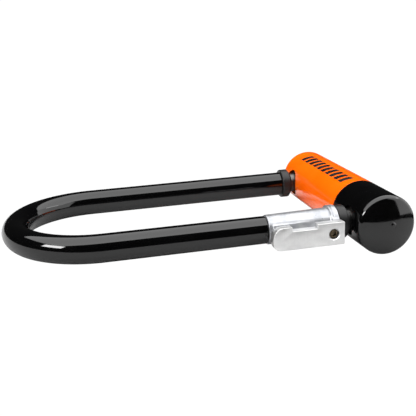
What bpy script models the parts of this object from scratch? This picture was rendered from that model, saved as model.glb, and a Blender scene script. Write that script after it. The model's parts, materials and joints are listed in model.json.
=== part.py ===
"""A compact bicycle U-lock: a coated steel shackle with a folding axle extender,
held by a hardened crossbar with a key cylinder and two deadbolts.

The lock is modelled in its own frame and then laid down as it rests on a table:
+X runs along the shackle legs towards the crossbar, +Y along the crossbar towards
the far leg, and the origin is under the middle of the whole lock. Lengths in metres.
"""
import math

import bmesh
import bpy
from mathutils import Matrix, Vector

MM = 0.001

# Shackle
LEG_SPACING = 99.0 * MM
LEG_LENGTH = 164.5 * MM          # crossbar axis to the centre of the bend
STEEL_R = 6.5 * MM
COAT_R = 8.25 * MM
GAP = 0.3 * MM
CUT = 1.0 * MM                   # how far a cutter runs past the face it opens                   # air left between pieces that touch
LEG_END_X = 6.0 * MM
LEG_CHAMFER = 1.5 * MM
FAR_COAT_END_X = -27.6 * MM
NEAR_COAT_END_X = -69.5 * MM
BEND_STEPS = 26

# Crossbar
BAR_R = 18.25 * MM
CAP_CREST_Y = 70.5 * MM          # middle of a cover's domed end
CAP_FILLET = 3.5 * MM
CAP_SLOPE = math.radians(19)     # dome's slope where it meets the fillet
NUB_R = 1.8 * MM
NUB_HEIGHT = 0.6 * MM
NUB_X = 2.3 * MM
NUB_Z = 1.0 * MM
COVER_INNER_R = 16.3 * MM
COVER_END_INNER = 66.8 * MM
COLOUR_SPLIT_Y = -28.4 * MM
COVER_HOLE_R = 9.0 * MM
TUBE_R = 16.0 * MM
TUBE_INNER_R = 12.7 * MM
TUBE_HALF = 66.4 * MM
LEG_HOLE_R = 6.9 * MM
BODY_R = 12.4 * MM
BODY_HALF = 42.0 * MM
PLUG_INNER_Y = 57.2 * MM
PIN_R = 1.5 * MM
PIN_X = 2.0 * MM
PIN_Y = 27.0 * MM
BAR_WALL_X = (-25.0 * MM, -5.0 * MM)  # span of a cut through the wall that faces the legs
KEY_WALL_X = (5.0 * MM, 25.0 * MM)    # span of a cut through the wall that faces the key
LOW_WALL_Z = (-25.0 * MM, -6.2 * MM)  # span of a cut through the underside
PIN_Z = (-15.6 * MM, -6.6 * MM)
PIN_BORE_R = 0.7 * MM
PLUG_CHAMFER = 0.8 * MM

# Locking works
BOLT_X = -5.65 * MM
BOLT_R = 4.2 * MM
BOLT_TIP_Y = 42.5 * MM           # bolts withdrawn
NOTCH_DEPTH = 5.4 * MM
CRANK_R = 4.0 * MM
CRANK_PIN_R = 1.25 * MM
FORK_CLEARANCE = 0.3 * MM
FORK_X = (-7.4 * MM, -3.9 * MM)
FORK_Z = (0.5 * MM, 7.4 * MM)
ROD_START_Y = 8.5 * MM
CAM_R = 6.6 * MM
CAM_X = (-3.4 * MM, -1.0 * MM)
WORKS_X = (-8.1 * MM, -0.3 * MM)  # room in the lock body for the cam and the forks
WORKS_Y = (-15.2 * MM, 15.2 * MM)
WORKS_Z = (-7.8 * MM, 7.8 * MM)

# Key cylinder, on the +X side of the crossbar
HOUSING_R = 8.0 * MM
HOUSING_X = (-0.4 * MM, 13.4 * MM)
CORE_R = 6.0 * MM
CORE_INNER_R = 4.9 * MM
CORE_X = (0.6 * MM, 11.6 * MM)
TAIL_HALF = 2.0 * MM             # half of the square tail that drives the cam
DISC_COUNT = 6
DISC_R = 4.6 * MM
DISC_THICK = 1.25 * MM
DISC_PITCH = 1.5 * MM
DISC_START_X = 2.3 * MM
KEYWAY = (2.2 * MM, 5.0 * MM)
GATE_WIDTH = 2.1 * MM
GATE_FLOOR_R = 3.5 * MM
SIDEBAR_WIDTH = 1.5 * MM

# Keyway surround and its sliding dust cover
BEZEL_PROUD = 0.35 * MM
BEZEL_Y = (-0.5 * MM, 11.0 * MM)  # centres of its two round ends
BEZEL_R = 9.0 * MM
WINDOW_Y = (0.0, 3.6 * MM)
WINDOW_R = 5.8 * MM
DUST_R = 6.6 * MM
DUST_X = (13.8 * MM, 14.6 * MM)
DUST_TRAVEL = 12.2 * MM
POCKET_FLOOR = 0.2 * MM          # air between the dust cover and the pocket's floor
DUST_NUB_Y = -4.2 * MM
DUST_NUB_R = 1.1 * MM
DUST_NUB_TOP = 16.8 * MM

# Collars and extender on the legs
COLLAR_INNER_R = STEEL_R + GAP
FAR_COLLAR_X = (-27.3 * MM, -20.4 * MM)
FAR_COLLAR_R = 10.0 * MM
NEAR_COLLAR_X = (-26.0 * MM, -20.2 * MM)
NEAR_COLLAR_R = 10.2 * MM
SNOUT_R = 7.5 * MM               # part of the near collar that enters the cover's hole
SNOUT_END_X = -17.2 * MM
COLLAR_EDGE = 0.8 * MM
SLEEVE_X = (-69.2 * MM, -26.3 * MM)
SLEEVE_R = 9.2 * MM
FLANGE_R = 10.7 * MM
FLANGE_THICK = 4.8 * MM
SLEEVE_EDGE = 0.5 * MM
PAD_Z = (-4.2 * MM, 1.6 * MM)
PAD_BITE = 0.9 * MM              # how far the pad runs into the sleeve
PLATE_SPREAD = 3.0 * MM
PLATE_RISE = 2.2 * MM
PLATE_DROP = 0.4 * MM
PLATE_ROOT_Z = (-2.0 * MM, 4.0 * MM)
PAD_OFFSET = 10.3 * MM           # leg axis to the pad's flat
ARM_X = (-69.4 * MM, -25.8 * MM)
ARM_Z = (-8.7 * MM, 4.9 * MM)
ARM_THICK = 5.4 * MM
ARM_TOP_CORNER_R = 6.4 * MM
ARM_LOW_CORNER_R = 4.6 * MM
NOTCH_X = (-57.8 * MM, -42.5 * MM)
ARM_NOTCH_DEPTH = 2.6 * MM
PIVOT_X = -32.3 * MM
PIVOT_Z = -2.1 * MM
COUNTERBORE_R = 3.1 * MM
HEAD_CHAMFER = 0.3 * MM
SOCKET_R = 1.6 * MM
SOCKET_DEPTH = 0.9 * MM
SCREW_HEAD_R = 2.75 * MM
SCREW_R = 1.6 * MM
WEB_THICK = 1.6 * MM
HEAD_HEIGHT = 1.3 * MM
WASHER_THICK = 0.4 * MM

HALF_SPACING = LEG_SPACING / 2
REST_TILT = math.asin((BAR_R - COAT_R) / (LEG_LENGTH + HALF_SPACING))
BEND_REACH = (LEG_LENGTH + HALF_SPACING) * math.cos(REST_TILT) + COAT_R
CENTRE_X = (BEND_REACH - BAR_R - BEZEL_PROUD) / 2

FAR, NEAR = 1, -1
SIDE_NAME = {FAR: "far", NEAR: "near"}


# ---------------------------------------------------------------- scene helpers

def clear_scene():
    for obj in list(bpy.data.objects):
        bpy.data.objects.remove(obj)


def make_material(name, colour, roughness, metallic=0.0):
    mat = bpy.data.materials.new(name)
    mat.use_nodes = True
    shader = mat.node_tree.nodes["Principled BSDF"]
    shader.inputs["Base Color"].default_value = (*colour, 1.0)
    shader.inputs["Roughness"].default_value = roughness
    shader.inputs["Metallic"].default_value = metallic
    mat.diffuse_color = (*colour, 1.0)
    return mat


def make_empty(name, location, parent=None):
    empty = bpy.data.objects.new(name, None)
    empty.location = location
    empty.parent = parent
    bpy.context.collection.objects.link(empty)
    return empty


def make_object(name, bm, parent, mat=None):
    """Turn bm, drawn in the lock's frame, into an object whose origin is its parent's."""
    bmesh.ops.recalc_face_normals(bm, faces=bm.faces)
    mesh = bpy.data.meshes.new(name)
    bm.to_mesh(mesh)
    bm.free()
    origin = parent.location if parent.parent else Vector((0, 0, 0))
    mesh.transform(Matrix.Translation(-origin))
    obj = bpy.data.objects.new(name, mesh)
    obj.parent = parent
    bpy.context.collection.objects.link(obj)
    if mat:
        mesh.materials.append(mat)
        mesh.shade_smooth()
        mesh.set_sharp_from_angle(angle=math.radians(35))
    return obj


def add_boolean(obj, tool_bm, operation="DIFFERENCE"):
    """Cut obj with a hidden tool, or join the tool to it."""
    tool = make_object(f"tool_{len(bpy.data.objects)}", tool_bm, obj.parent)
    tool.hide_render = True
    tool.display_type = "WIRE"
    modifier = obj.modifiers.new(operation.lower(), "BOOLEAN")
    modifier.operation = operation
    modifier.solver = "EXACT"
    modifier.object = tool


# ---------------------------------------------------------------- shape helpers

def turned(profile, axis, centre=(0, 0, 0), steps=32, closed=False):
    """Turn (radius, distance) points about an axis through centre."""
    bm = bmesh.new()
    rings = []
    for radius, along in profile:
        count = steps if radius > 0 else 1
        ring = []
        for i in range(count):
            turn = 2 * math.pi * i / steps
            side, rise = radius * math.sin(turn), -radius * math.cos(turn)
            place = {"X": (along, side, rise), "Y": (side, along, rise), "Z": (side, rise, along)}
            ring.append(bm.verts.new(Vector(place[axis]) + Vector(centre)))
        rings.append(ring)
    pairs = list(zip(rings, rings[1:]))
    if closed:
        pairs.append((rings[-1], rings[0]))
    for first, second in pairs:
        join_rings(bm, first, second)
    return bm


def join_rings(bm, first, second):
    count = max(len(first), len(second))
    for i in range(count):
        j = (i + 1) % count
        if len(first) == 1:
            bm.faces.new((first[0], second[i], second[j]))
        elif len(second) == 1:
            bm.faces.new((first[i], first[j], second[0]))
        else:
            bm.faces.new((first[i], first[j], second[j], second[i]))


def rod(radius, low, high, axis, centre=(0, 0, 0), steps=24, chamfer=0.0):
    if chamfer:
        profile = [(0, low), (radius - chamfer, low), (radius, low + chamfer),
                   (radius, high - chamfer), (radius - chamfer, high), (0, high)]
    else:
        profile = [(0, low), (radius, low), (radius, high), (0, high)]
    return turned(profile, axis, centre, steps)


def ring(inner, outer, low, high, axis, centre=(0, 0, 0), steps=32, edges=(0.0, 0.0)):
    """A tube with its outer edges chamfered by the two edge sizes."""
    profile = [(inner, low), (outer - edges[0], low), (outer, low + edges[0]),
               (outer, high - edges[1]), (outer - edges[1], high), (inner, high)]
    if not any(edges):
        profile = [(inner, low), (outer, low), (outer, high), (inner, high)]
    return turned(profile, axis, centre, steps, closed=True)


def block(x, y, z):
    bm = bmesh.new()
    bmesh.ops.create_cube(bm, size=1)
    size = [high - low for low, high in (x, y, z)]
    middle = [(high + low) / 2 for low, high in (x, y, z)]
    bmesh.ops.scale(bm, vec=size, verts=bm.verts)
    bmesh.ops.translate(bm, vec=middle, verts=bm.verts)
    return bm


def prism(outline, low, high, axis):
    """Extrude an outline of the two other axes, in X, Y, Z order, along axis."""
    bm = bmesh.new()
    place = {"X": lambda u, v: (low, u, v), "Y": lambda u, v: (u, low, v)}[axis]
    face = bm.faces.new([bm.verts.new(place(u, v)) for u, v in outline])
    grown = bmesh.ops.extrude_face_region(bm, geom=[face])
    moved = [v for v in grown["geom"] if isinstance(v, bmesh.types.BMVert)]
    step = Vector((high - low, 0, 0)) if axis == "X" else Vector((0, high - low, 0))
    bmesh.ops.translate(bm, vec=step, verts=moved)
    return bm


def arc(centre, radius, start, end, steps):
    """Points of an arc between two angles in degrees."""
    angles = [math.radians(start + (end - start) * i / steps) for i in range(steps + 1)]
    return [(centre[0] + radius * math.cos(a), centre[1] + radius * math.sin(a)) for a in angles]


def obround(low_y, high_y, radius, steps=12):
    """A slot outline in Y and Z around two centres."""
    return arc((high_y, 0), radius, -90, 90, steps) + arc((low_y, 0), radius, 90, 270, steps)


# ---------------------------------------------------------------- shackle

def shackle_path(far_x, near_x):
    """Places and directions along the U from the far leg's end to the near leg's."""
    stations = [(Vector((far_x, HALF_SPACING, 0)), Vector((-1, 0, 0)))]
    for i in range(BEND_STEPS + 1):
        turn = math.pi / 2 + math.pi * i / BEND_STEPS
        out = Vector((math.cos(turn), math.sin(turn), 0))
        along = Vector((-math.sin(turn), math.cos(turn), 0))
        stations.append((Vector((-LEG_LENGTH, 0, 0)) + out * HALF_SPACING, along))
    stations.append((Vector((near_x, -HALF_SPACING, 0)), Vector((1, 0, 0))))
    return stations


def path_ring(bm, place, along, radius, steps):
    side = along.cross(Vector((0, 0, 1)))
    verts = []
    for i in range(steps):
        turn = 2 * math.pi * i / steps
        offset = side * math.sin(turn) - Vector((0, 0, 1)) * math.cos(turn)
        verts.append(bm.verts.new(place + offset * radius))
    return verts


def build_shackle_bar(parent, mat):
    steps = 20
    stations = [(p, d, STEEL_R) for p, d in shackle_path(LEG_END_X, LEG_END_X)]
    shoulder = Vector((LEG_CHAMFER, 0, 0))
    for index in (0, -1):
        place, along, radius = stations[index]
        stations[index] = (place - shoulder, along, radius)
    stations.insert(0, (stations[0][0] + shoulder, stations[0][1], STEEL_R - LEG_CHAMFER))
    stations.append((stations[-1][0] + shoulder, stations[-1][1], STEEL_R - LEG_CHAMFER))
    bm = bmesh.new()
    rings = [path_ring(bm, p, d, r, steps) for p, d, r in stations]
    for first, second in zip(rings, rings[1:]):
        join_rings(bm, first, second)
    bm.faces.new(rings[0])
    bm.faces.new(rings[-1])
    bar = make_object("shackle_bar", bm, parent, mat)
    inner_y = HALF_SPACING - STEEL_R
    for side in (FAR, NEAR):
        ends = sorted((side * (inner_y - 2 * MM), side * (inner_y + NOTCH_DEPTH)))
        add_boolean(bar, rod(BOLT_R + 0.5 * MM, *ends, "Y", (BOLT_X, 0, 0), 24))


def build_shackle_coating(parent, mat):
    steps = 24
    bm = bmesh.new()
    inner_r = STEEL_R + GAP
    stations = shackle_path(FAR_COAT_END_X, NEAR_COAT_END_X)
    outer = [path_ring(bm, p, d, COAT_R, steps) for p, d in stations]
    inner = [path_ring(bm, p, d, inner_r, steps) for p, d in stations]
    for rings in (outer, inner):
        for first, second in zip(rings, rings[1:]):
            join_rings(bm, first, second)
    join_rings(bm, outer[0], inner[0])
    join_rings(bm, outer[-1], inner[-1])
    make_object("shackle_coating", bm, parent, mat)


def build_collars(parent, mat):
    far = ring(COLLAR_INNER_R, FAR_COLLAR_R, *FAR_COLLAR_X, "X", (0, HALF_SPACING, 0), 28,
               (COLLAR_EDGE, 2 * COLLAR_EDGE))
    make_object("far_leg_collar", far, parent, mat)
    start, end = NEAR_COLLAR_X
    profile = [(COLLAR_INNER_R, start), (NEAR_COLLAR_R - COLLAR_EDGE, start),
               (NEAR_COLLAR_R, start + COLLAR_EDGE), (NEAR_COLLAR_R, end - 2 * COLLAR_EDGE),
               (SNOUT_R, end), (SNOUT_R, SNOUT_END_X), (COLLAR_INNER_R, SNOUT_END_X)]
    near = turned(profile, "X", (0, -HALF_SPACING, 0), 28, closed=True)
    make_object("near_leg_collar", near, parent, mat)


# ---------------------------------------------------------------- extender

def build_extender_sleeve(parent, mat):
    leg = (0, -HALF_SPACING, 0)
    pad_y = -HALF_SPACING - PAD_OFFSET
    pad_back = -HALF_SPACING - SLEEVE_R + PAD_BITE
    low, high = SLEEVE_X
    flange_x = high - FLANGE_THICK
    edge = SLEEVE_EDGE
    profile = [(COLLAR_INNER_R, low), (SLEEVE_R - edge, low), (SLEEVE_R, low + edge),
               (SLEEVE_R, flange_x), (FLANGE_R - edge, flange_x), (FLANGE_R, flange_x + edge),
               (FLANGE_R, high - edge), (FLANGE_R - edge, high), (COLLAR_INNER_R, high)]
    sleeve = make_object("extender_sleeve", turned(profile, "X", leg, 32, closed=True), parent, mat)
    pad = block((low + 2 * MM, flange_x + 1 * MM), (pad_y, pad_back), PAD_Z)
    add_boolean(sleeve, pad, "UNION")
    spread_y = pad_y + PLATE_SPREAD
    plate = [(pad_y, ARM_Z[1]), (pad_y, ARM_Z[0]), (spread_y, ARM_Z[0] - PLATE_DROP),
             (pad_back, PLATE_ROOT_Z[0]), (pad_back, PLATE_ROOT_Z[1]),
             (spread_y, ARM_Z[1] + PLATE_RISE)]
    add_boolean(sleeve, prism(plate, flange_x + 0.1 * MM, high - 0.1 * MM, "X"), "UNION")
    trim = block((flange_x - CUT, high + CUT), (pad_y - 2 * CUT, pad_y), (-FLANGE_R, FLANGE_R))
    add_boolean(sleeve, trim)
    hole = rod(SCREW_R + GAP, pad_y - CUT, -HALF_SPACING - 5 * MM, "Y", (PIVOT_X, 0, PIVOT_Z))
    add_boolean(sleeve, hole)


def arm_outline():
    left, right = ARM_X
    low, high = ARM_Z
    floor = high - ARM_NOTCH_DEPTH
    corner = 0.6 * MM
    points = arc((right - corner, high - corner), corner, 0, 90, 2)
    points += [(NOTCH_X[1], high), (NOTCH_X[1], floor), (NOTCH_X[0], floor), (NOTCH_X[0], high)]
    top_r, low_r = ARM_TOP_CORNER_R, ARM_LOW_CORNER_R
    points += arc((left + top_r, high - top_r), top_r, 90, 180, 10)
    points += arc((left + low_r, low + low_r), low_r, 180, 270, 8)
    points += arc((right - corner, low + corner), corner, 270, 360, 2)
    return points


def build_extender_arm(parent, mat):
    inner_y = -HALF_SPACING - PAD_OFFSET - GAP
    outer_y = inner_y - ARM_THICK
    arm = make_object("extender_arm", prism(arm_outline(), inner_y, outer_y, "Y"), parent, mat)
    bevel = arm.modifiers.new("edges", "BEVEL")
    bevel.width = 0.35 * MM
    bevel.segments = 1
    bevel.limit_method = "ANGLE"
    bevel.angle_limit = math.radians(60)
    pivot = (PIVOT_X, 0, PIVOT_Z)
    floor_y = inner_y - WEB_THICK
    add_boolean(arm, rod(COUNTERBORE_R, outer_y - CUT, floor_y, "Y", pivot, 28))
    add_boolean(arm, rod(SCREW_R + GAP, floor_y - CUT, inner_y + CUT, "Y", pivot, 20))


def build_pivot_screw(parent, screw_mat, washer_mat):
    floor_y = -HALF_SPACING - PAD_OFFSET - GAP - WEB_THICK
    washer_y = (floor_y - GAP - WASHER_THICK, floor_y - GAP)
    pivot = (PIVOT_X, 0, PIVOT_Z)
    washer = ring(SCREW_R + GAP, SCREW_HEAD_R, *washer_y, "Y", pivot, 24)
    make_object("pivot_washer", washer, parent, washer_mat)
    head_low = washer_y[0] - GAP
    head_top = head_low - HEAD_HEIGHT
    tip = -HALF_SPACING - STEEL_R - 2 * GAP
    rim = SCREW_HEAD_R - HEAD_CHAMFER
    profile = [(0, head_top), (rim, head_top), (SCREW_HEAD_R, head_top + HEAD_CHAMFER),
               (SCREW_HEAD_R, head_low), (SCREW_R, head_low), (SCREW_R, tip), (0, tip)]
    screw = make_object("pivot_screw", turned(profile, "Y", pivot, 24), parent, screw_mat)
    socket = rod(SOCKET_R, head_top - CUT, head_top + SOCKET_DEPTH, "Y", pivot, 6)
    add_boolean(screw, socket)


# ---------------------------------------------------------------- crossbar

def cap_profile(mouth):
    """A cover's section from its open mouth to the middle of its closed, domed end."""
    fillet_r = BAR_R - CAP_FILLET
    dome_r = fillet_r / math.sin(CAP_SLOPE) + CAP_FILLET
    dome_y = CAP_CREST_Y - dome_r
    fillet_y = dome_y + (dome_r - CAP_FILLET) * math.cos(CAP_SLOPE)
    slope = math.degrees(CAP_SLOPE)
    rim = arc((fillet_r, fillet_y), CAP_FILLET, 0, 90 - slope, 5)
    dome = arc((0, dome_y), dome_r, 90 - slope, 90, 3)[1:-1]
    return ([(0, COVER_END_INNER), (COVER_INNER_R, COVER_END_INNER), (COVER_INNER_R, mouth),
             (BAR_R, mouth)] + rim + dome + [(0, CAP_CREST_Y)])


def build_covers(parent, orange, black):
    split = {"orange_cover": (FAR, COLOUR_SPLIT_Y + GAP / 2, orange),
             "black_cover": (NEAR, -COLOUR_SPLIT_Y + GAP / 2, black)}
    for name, (side, mouth, mat) in split.items():
        profile = [(radius, side * along) for radius, along in cap_profile(mouth)]
        cover = make_object(name, turned(profile, "Y", steps=36), parent, mat)
        hole = rod(COVER_HOLE_R, *BAR_WALL_X, "X", (0, side * HALF_SPACING, 0), 28)
        add_boolean(cover, hole)
        nub_y = sorted((side * (CAP_CREST_Y - 2 * NUB_HEIGHT), side * (CAP_CREST_Y + NUB_HEIGHT)))
        add_boolean(cover, rod(NUB_R, *nub_y, "Y", (NUB_X, 0, NUB_Z), 12, NUB_HEIGHT), "UNION")
        if side == FAR:
            opening = prism(obround(*BEZEL_Y, BEZEL_R + GAP), *KEY_WALL_X, "X")
            add_boolean(cover, opening)


def build_crossbar_tube(parent, mat):
    body = ring(TUBE_INNER_R, TUBE_R, -TUBE_HALF, TUBE_HALF, "Y", steps=36)
    tube = make_object("crossbar_tube", body, parent, mat)
    for side in (FAR, NEAR):
        add_boolean(tube, rod(LEG_HOLE_R, *BAR_WALL_X, "X", (0, side * HALF_SPACING, 0), 28))
        add_boolean(tube, rod(PIN_R + GAP, *LOW_WALL_Z, "Z", (PIN_X, side * PIN_Y, 0), 12))
    add_boolean(tube, rod(HOUSING_R + GAP, *KEY_WALL_X, "X", steps=32))
    pocket = obround(0, DUST_TRAVEL, DUST_R + GAP)
    add_boolean(tube, prism(pocket, DUST_X[0] - POCKET_FLOOR, KEY_WALL_X[1], "X"))


def build_lock_body(parent, body_mat, plug_mat, pin_mat):
    body = make_object("lock_body", rod(BODY_R, -BODY_HALF, BODY_HALF, "Y", steps=36), parent, body_mat)
    bore_end = BODY_HALF + 1 * MM
    add_boolean(body, rod(BOLT_R + GAP, -bore_end, bore_end, "Y", (BOLT_X, 0, 0), 22))
    add_boolean(body, block(WORKS_X, WORKS_Y, WORKS_Z))
    add_boolean(body, rod(HOUSING_R + GAP, HOUSING_X[0] - GAP, KEY_WALL_X[1], "X", steps=32))
    for side in (FAR, NEAR):
        pin_y = side * PIN_Y
        add_boolean(body, rod(PIN_R + GAP, *LOW_WALL_Z, "Z", (PIN_X, pin_y, 0), 12))
        pin = ring(PIN_BORE_R, PIN_R, *PIN_Z, "Z", (PIN_X, pin_y, 0), 12)
        make_object(f"body_pin_{SIDE_NAME[side]}", pin, parent, pin_mat)
        ends = sorted((side * PLUG_INNER_Y, side * TUBE_HALF))
        plug = rod(BODY_R, *ends, "Y", steps=32, chamfer=PLUG_CHAMFER)
        make_object(f"end_plug_{SIDE_NAME[side]}", plug, parent, plug_mat)


def build_keyway_bezel(parent, mat):
    outer_r = BAR_R + BEZEL_PROUD
    shell_y = (BEZEL_Y[0] - 1.5 * BEZEL_R, BEZEL_Y[1] + 1.5 * BEZEL_R)
    shell = ring(COVER_INNER_R, outer_r, *shell_y, "Y", steps=48)
    bezel = make_object("keyway_bezel", shell, parent, mat)
    add_boolean(bezel, prism(obround(*BEZEL_Y, BEZEL_R), *KEY_WALL_X, "X"), "INTERSECT")
    window_x = (KEY_WALL_X[0] - 2 * MM, KEY_WALL_X[1] + 2 * MM)
    add_boolean(bezel, prism(obround(*WINDOW_Y, WINDOW_R), *window_x, "X"))


def build_dust_cover(parent, mat):
    cover = make_object("dust_cover", rod(DUST_R, *DUST_X, "X", steps=32), parent, mat)
    grip = rod(DUST_NUB_R, DUST_X[0] + GAP, DUST_NUB_TOP, "X", (0, DUST_NUB_Y, 0), 12, GAP)
    add_boolean(cover, grip, "UNION")


# ---------------------------------------------------------------- locking works

def build_key_cylinder(fixed, turning, mats):
    housing = make_object("cylinder_housing", ring(CORE_R + GAP, HOUSING_R, *HOUSING_X, "X"), fixed,
                          mats["brass"])
    half = GATE_WIDTH / 2
    add_boolean(housing, block((2 * MM, 11.5 * MM), (-half, half), (5 * MM, 7.2 * MM)))

    back, front = CORE_X
    profile = [(0, back), (CORE_R, back), (CORE_R, front), (CORE_INNER_R, front),
               (CORE_INNER_R, back + 1.4 * MM), (0, back + 1.4 * MM)]
    core = make_object("cylinder_core", turned(profile, "X"), turning, mats["brass"])
    add_boolean(core, block((2.4 * MM, 11.2 * MM), (-half, half), (4 * MM, 7 * MM)))
    tail = (-TAIL_HALF, TAIL_HALF)
    add_boolean(core, block((CAM_X[0], back + 0.7 * MM), tail, tail), "UNION")

    plate = rod(CORE_R - 0.05 * MM, front + GAP, HOUSING_X[1] - 0.2 * MM, "X", chamfer=0.2 * MM)
    plate_obj = make_object("anti_drill_plate", plate, turning, mats["steel"])
    add_boolean(plate_obj, block((10 * MM, 16 * MM), (-1.2 * MM, 1.2 * MM), (-3.2 * MM, 3.2 * MM)))

    for index in range(DISC_COUNT):
        start = DISC_START_X + index * DISC_PITCH
        blank = rod(DISC_R, start, start + DISC_THICK, "X", steps=20)
        disc = make_object(f"disc_{index + 1}", blank, turning, mats["steel"])
        span = (start - 1 * MM, start + 2 * MM)
        wide, tall = KEYWAY[0] / 2, KEYWAY[1] / 2
        add_boolean(disc, block(span, (-wide, wide), (-tall, tall)))
        add_boolean(disc, block(span, (-half, half), (GATE_FLOOR_R, 6 * MM)))

    edge = SIDEBAR_WIDTH / 2
    sidebar = block((2.7 * MM, 10.9 * MM), (-edge, edge), (GATE_FLOOR_R + GAP, CORE_R - 0.2 * MM))
    make_object("sidebar", sidebar, turning, mats["steel"])


def build_drive_cam(parent, mat):
    cam = make_object("drive_cam", rod(CAM_R, *CAM_X, "X", steps=32), parent, mat)
    place = CRANK_R * math.sqrt(0.5)
    for side in (FAR, NEAR):
        centre = (0, -side * place, side * place)
        crank = rod(CRANK_PIN_R, FORK_X[0] - 0.2 * MM, CAM_X[0] + 1 * MM, "X", centre, 16)
        add_boolean(cam, crank, "UNION")
    hole = TAIL_HALF + GAP
    add_boolean(cam, block((CAM_X[0] - GAP, 1 * MM), (-hole, hole), (-hole, hole)))


def build_deadbolt(side, parent, mat):
    """A round bolt whose inner end is a fork over one crank pin."""
    ends = sorted((side * ROD_START_Y, side * BOLT_TIP_Y))
    bolt = rod(BOLT_R, *ends, "Y", (BOLT_X, 0, 0), 24, 0.5 * MM)
    name = f"deadbolt_{SIDE_NAME[side]}"
    obj = make_object(name, bolt, parent, mat)
    pin_y = CRANK_R * math.sqrt(0.5)
    half_slot = CRANK_PIN_R + FORK_CLEARANCE
    y_range = sorted((-side * (pin_y + half_slot + 2 * MM), side * (ROD_START_Y + 1 * MM)))
    z_range = sorted(side * z for z in FORK_Z)
    add_boolean(obj, block(FORK_X, y_range, z_range), "UNION")
    slot_y = sorted((-side * (pin_y - half_slot), -side * (pin_y + half_slot)))
    slot_z = sorted((-side * 1 * MM, side * (CRANK_R + half_slot)))
    add_boolean(obj, block((-9 * MM, -2 * MM), slot_y, slot_z))


# ---------------------------------------------------------------- assembly

def build_lock():
    mats = {
        "coating": make_material("black_vinyl", (0.012, 0.012, 0.013), 0.12),
        "orange": make_material("orange_vinyl", (1.0, 0.19, 0.0), 0.3),
        "collar": make_material("dark_rubber", (0.05, 0.05, 0.052), 0.6),
        "aluminium": make_material("cast_aluminium", (0.75, 0.76, 0.77), 0.35, 1.0),
        "steel": make_material("hardened_steel", (0.5, 0.5, 0.51), 0.3, 1.0),
        "brass": make_material("cylinder_brass", (0.72, 0.55, 0.27), 0.35, 1.0),
        "zinc": make_material("yellow_zinc", (0.55, 0.42, 0.2), 0.35, 1.0),
        "plastic": make_material("black_plastic", (0.02, 0.02, 0.02), 0.45),
    }
    lying = make_empty("lying_lock", (CENTRE_X, 0, BAR_R))
    lying.rotation_euler = (0, -REST_TILT, 0)
    key_axis = make_empty("key_axis", (0, 0, 0), lying)
    pivot_y = -HALF_SPACING - PAD_OFFSET
    arm_pivot = make_empty("arm_pivot", (PIVOT_X, pivot_y, PIVOT_Z), lying)
    shackle = make_empty("shackle_axis", (0, 0, 0), lying)
    dust_slide = make_empty("dust_slide", (DUST_X[0], 0, 0), lying)

    build_shackle_bar(shackle, mats["steel"])
    build_shackle_coating(shackle, mats["coating"])
    build_collars(shackle, mats["collar"])
    build_extender_sleeve(shackle, mats["aluminium"])
    build_extender_arm(arm_pivot, mats["aluminium"])
    build_pivot_screw(shackle, mats["zinc"], mats["steel"])

    build_covers(lying, mats["orange"], mats["coating"])
    build_crossbar_tube(lying, mats["steel"])
    build_lock_body(lying, mats["zinc"], mats["steel"], mats["steel"])
    build_keyway_bezel(lying, mats["plastic"])
    build_dust_cover(dust_slide, mats["steel"])
    build_key_cylinder(lying, key_axis, mats)
    build_drive_cam(key_axis, mats["steel"])
    for side in (FAR, NEAR):
        bolt_slide = make_empty(f"bolt_slide_{SIDE_NAME[side]}", (BOLT_X, 0, 0), lying)
        build_deadbolt(side, bolt_slide, mats["steel"])


clear_scene()
build_lock()
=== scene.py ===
"""Looks of a compact bicycle U-lock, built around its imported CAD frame.

Pieces are drawn in the lock's own frame, in metres: +X runs along the shackle's legs
towards the crossbar, +Y along the crossbar towards the far leg, and the origin is on
the crossbar's axis, midway between the legs. ``LockFrame`` lays the pieces down as the
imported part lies.
"""
import sys

import json
import logging
import math
from collections.abc import Callable, Iterable, Sequence
from dataclasses import dataclass, field
from enum import Enum

import bmesh
import bpy
from mathutils import Matrix, Vector

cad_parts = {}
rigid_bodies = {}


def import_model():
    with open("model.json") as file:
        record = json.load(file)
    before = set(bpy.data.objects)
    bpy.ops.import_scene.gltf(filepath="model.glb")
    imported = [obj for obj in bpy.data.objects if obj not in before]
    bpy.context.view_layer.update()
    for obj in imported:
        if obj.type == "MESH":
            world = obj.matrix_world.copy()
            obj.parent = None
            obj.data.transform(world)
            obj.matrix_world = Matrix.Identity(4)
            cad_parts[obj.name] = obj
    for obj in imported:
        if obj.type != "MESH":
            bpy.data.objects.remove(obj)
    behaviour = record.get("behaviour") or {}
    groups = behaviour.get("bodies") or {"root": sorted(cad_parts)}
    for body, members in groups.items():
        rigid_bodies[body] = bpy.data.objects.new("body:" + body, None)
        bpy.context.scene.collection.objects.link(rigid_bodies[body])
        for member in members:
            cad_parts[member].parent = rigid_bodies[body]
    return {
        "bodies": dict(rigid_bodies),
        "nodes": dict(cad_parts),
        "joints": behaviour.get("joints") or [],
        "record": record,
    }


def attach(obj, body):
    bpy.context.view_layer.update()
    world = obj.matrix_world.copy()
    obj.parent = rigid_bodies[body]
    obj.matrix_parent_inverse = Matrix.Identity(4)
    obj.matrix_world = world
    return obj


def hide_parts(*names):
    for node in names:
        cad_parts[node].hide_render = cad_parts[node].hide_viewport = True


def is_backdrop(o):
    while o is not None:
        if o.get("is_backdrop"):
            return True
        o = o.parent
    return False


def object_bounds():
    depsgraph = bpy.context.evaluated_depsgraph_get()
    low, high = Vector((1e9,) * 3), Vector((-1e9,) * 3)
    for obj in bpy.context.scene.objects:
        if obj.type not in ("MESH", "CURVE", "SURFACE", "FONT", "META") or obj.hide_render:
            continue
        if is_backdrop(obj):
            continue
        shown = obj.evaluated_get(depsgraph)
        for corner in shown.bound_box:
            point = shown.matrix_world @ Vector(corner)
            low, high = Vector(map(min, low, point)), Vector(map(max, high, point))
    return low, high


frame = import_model()

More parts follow.
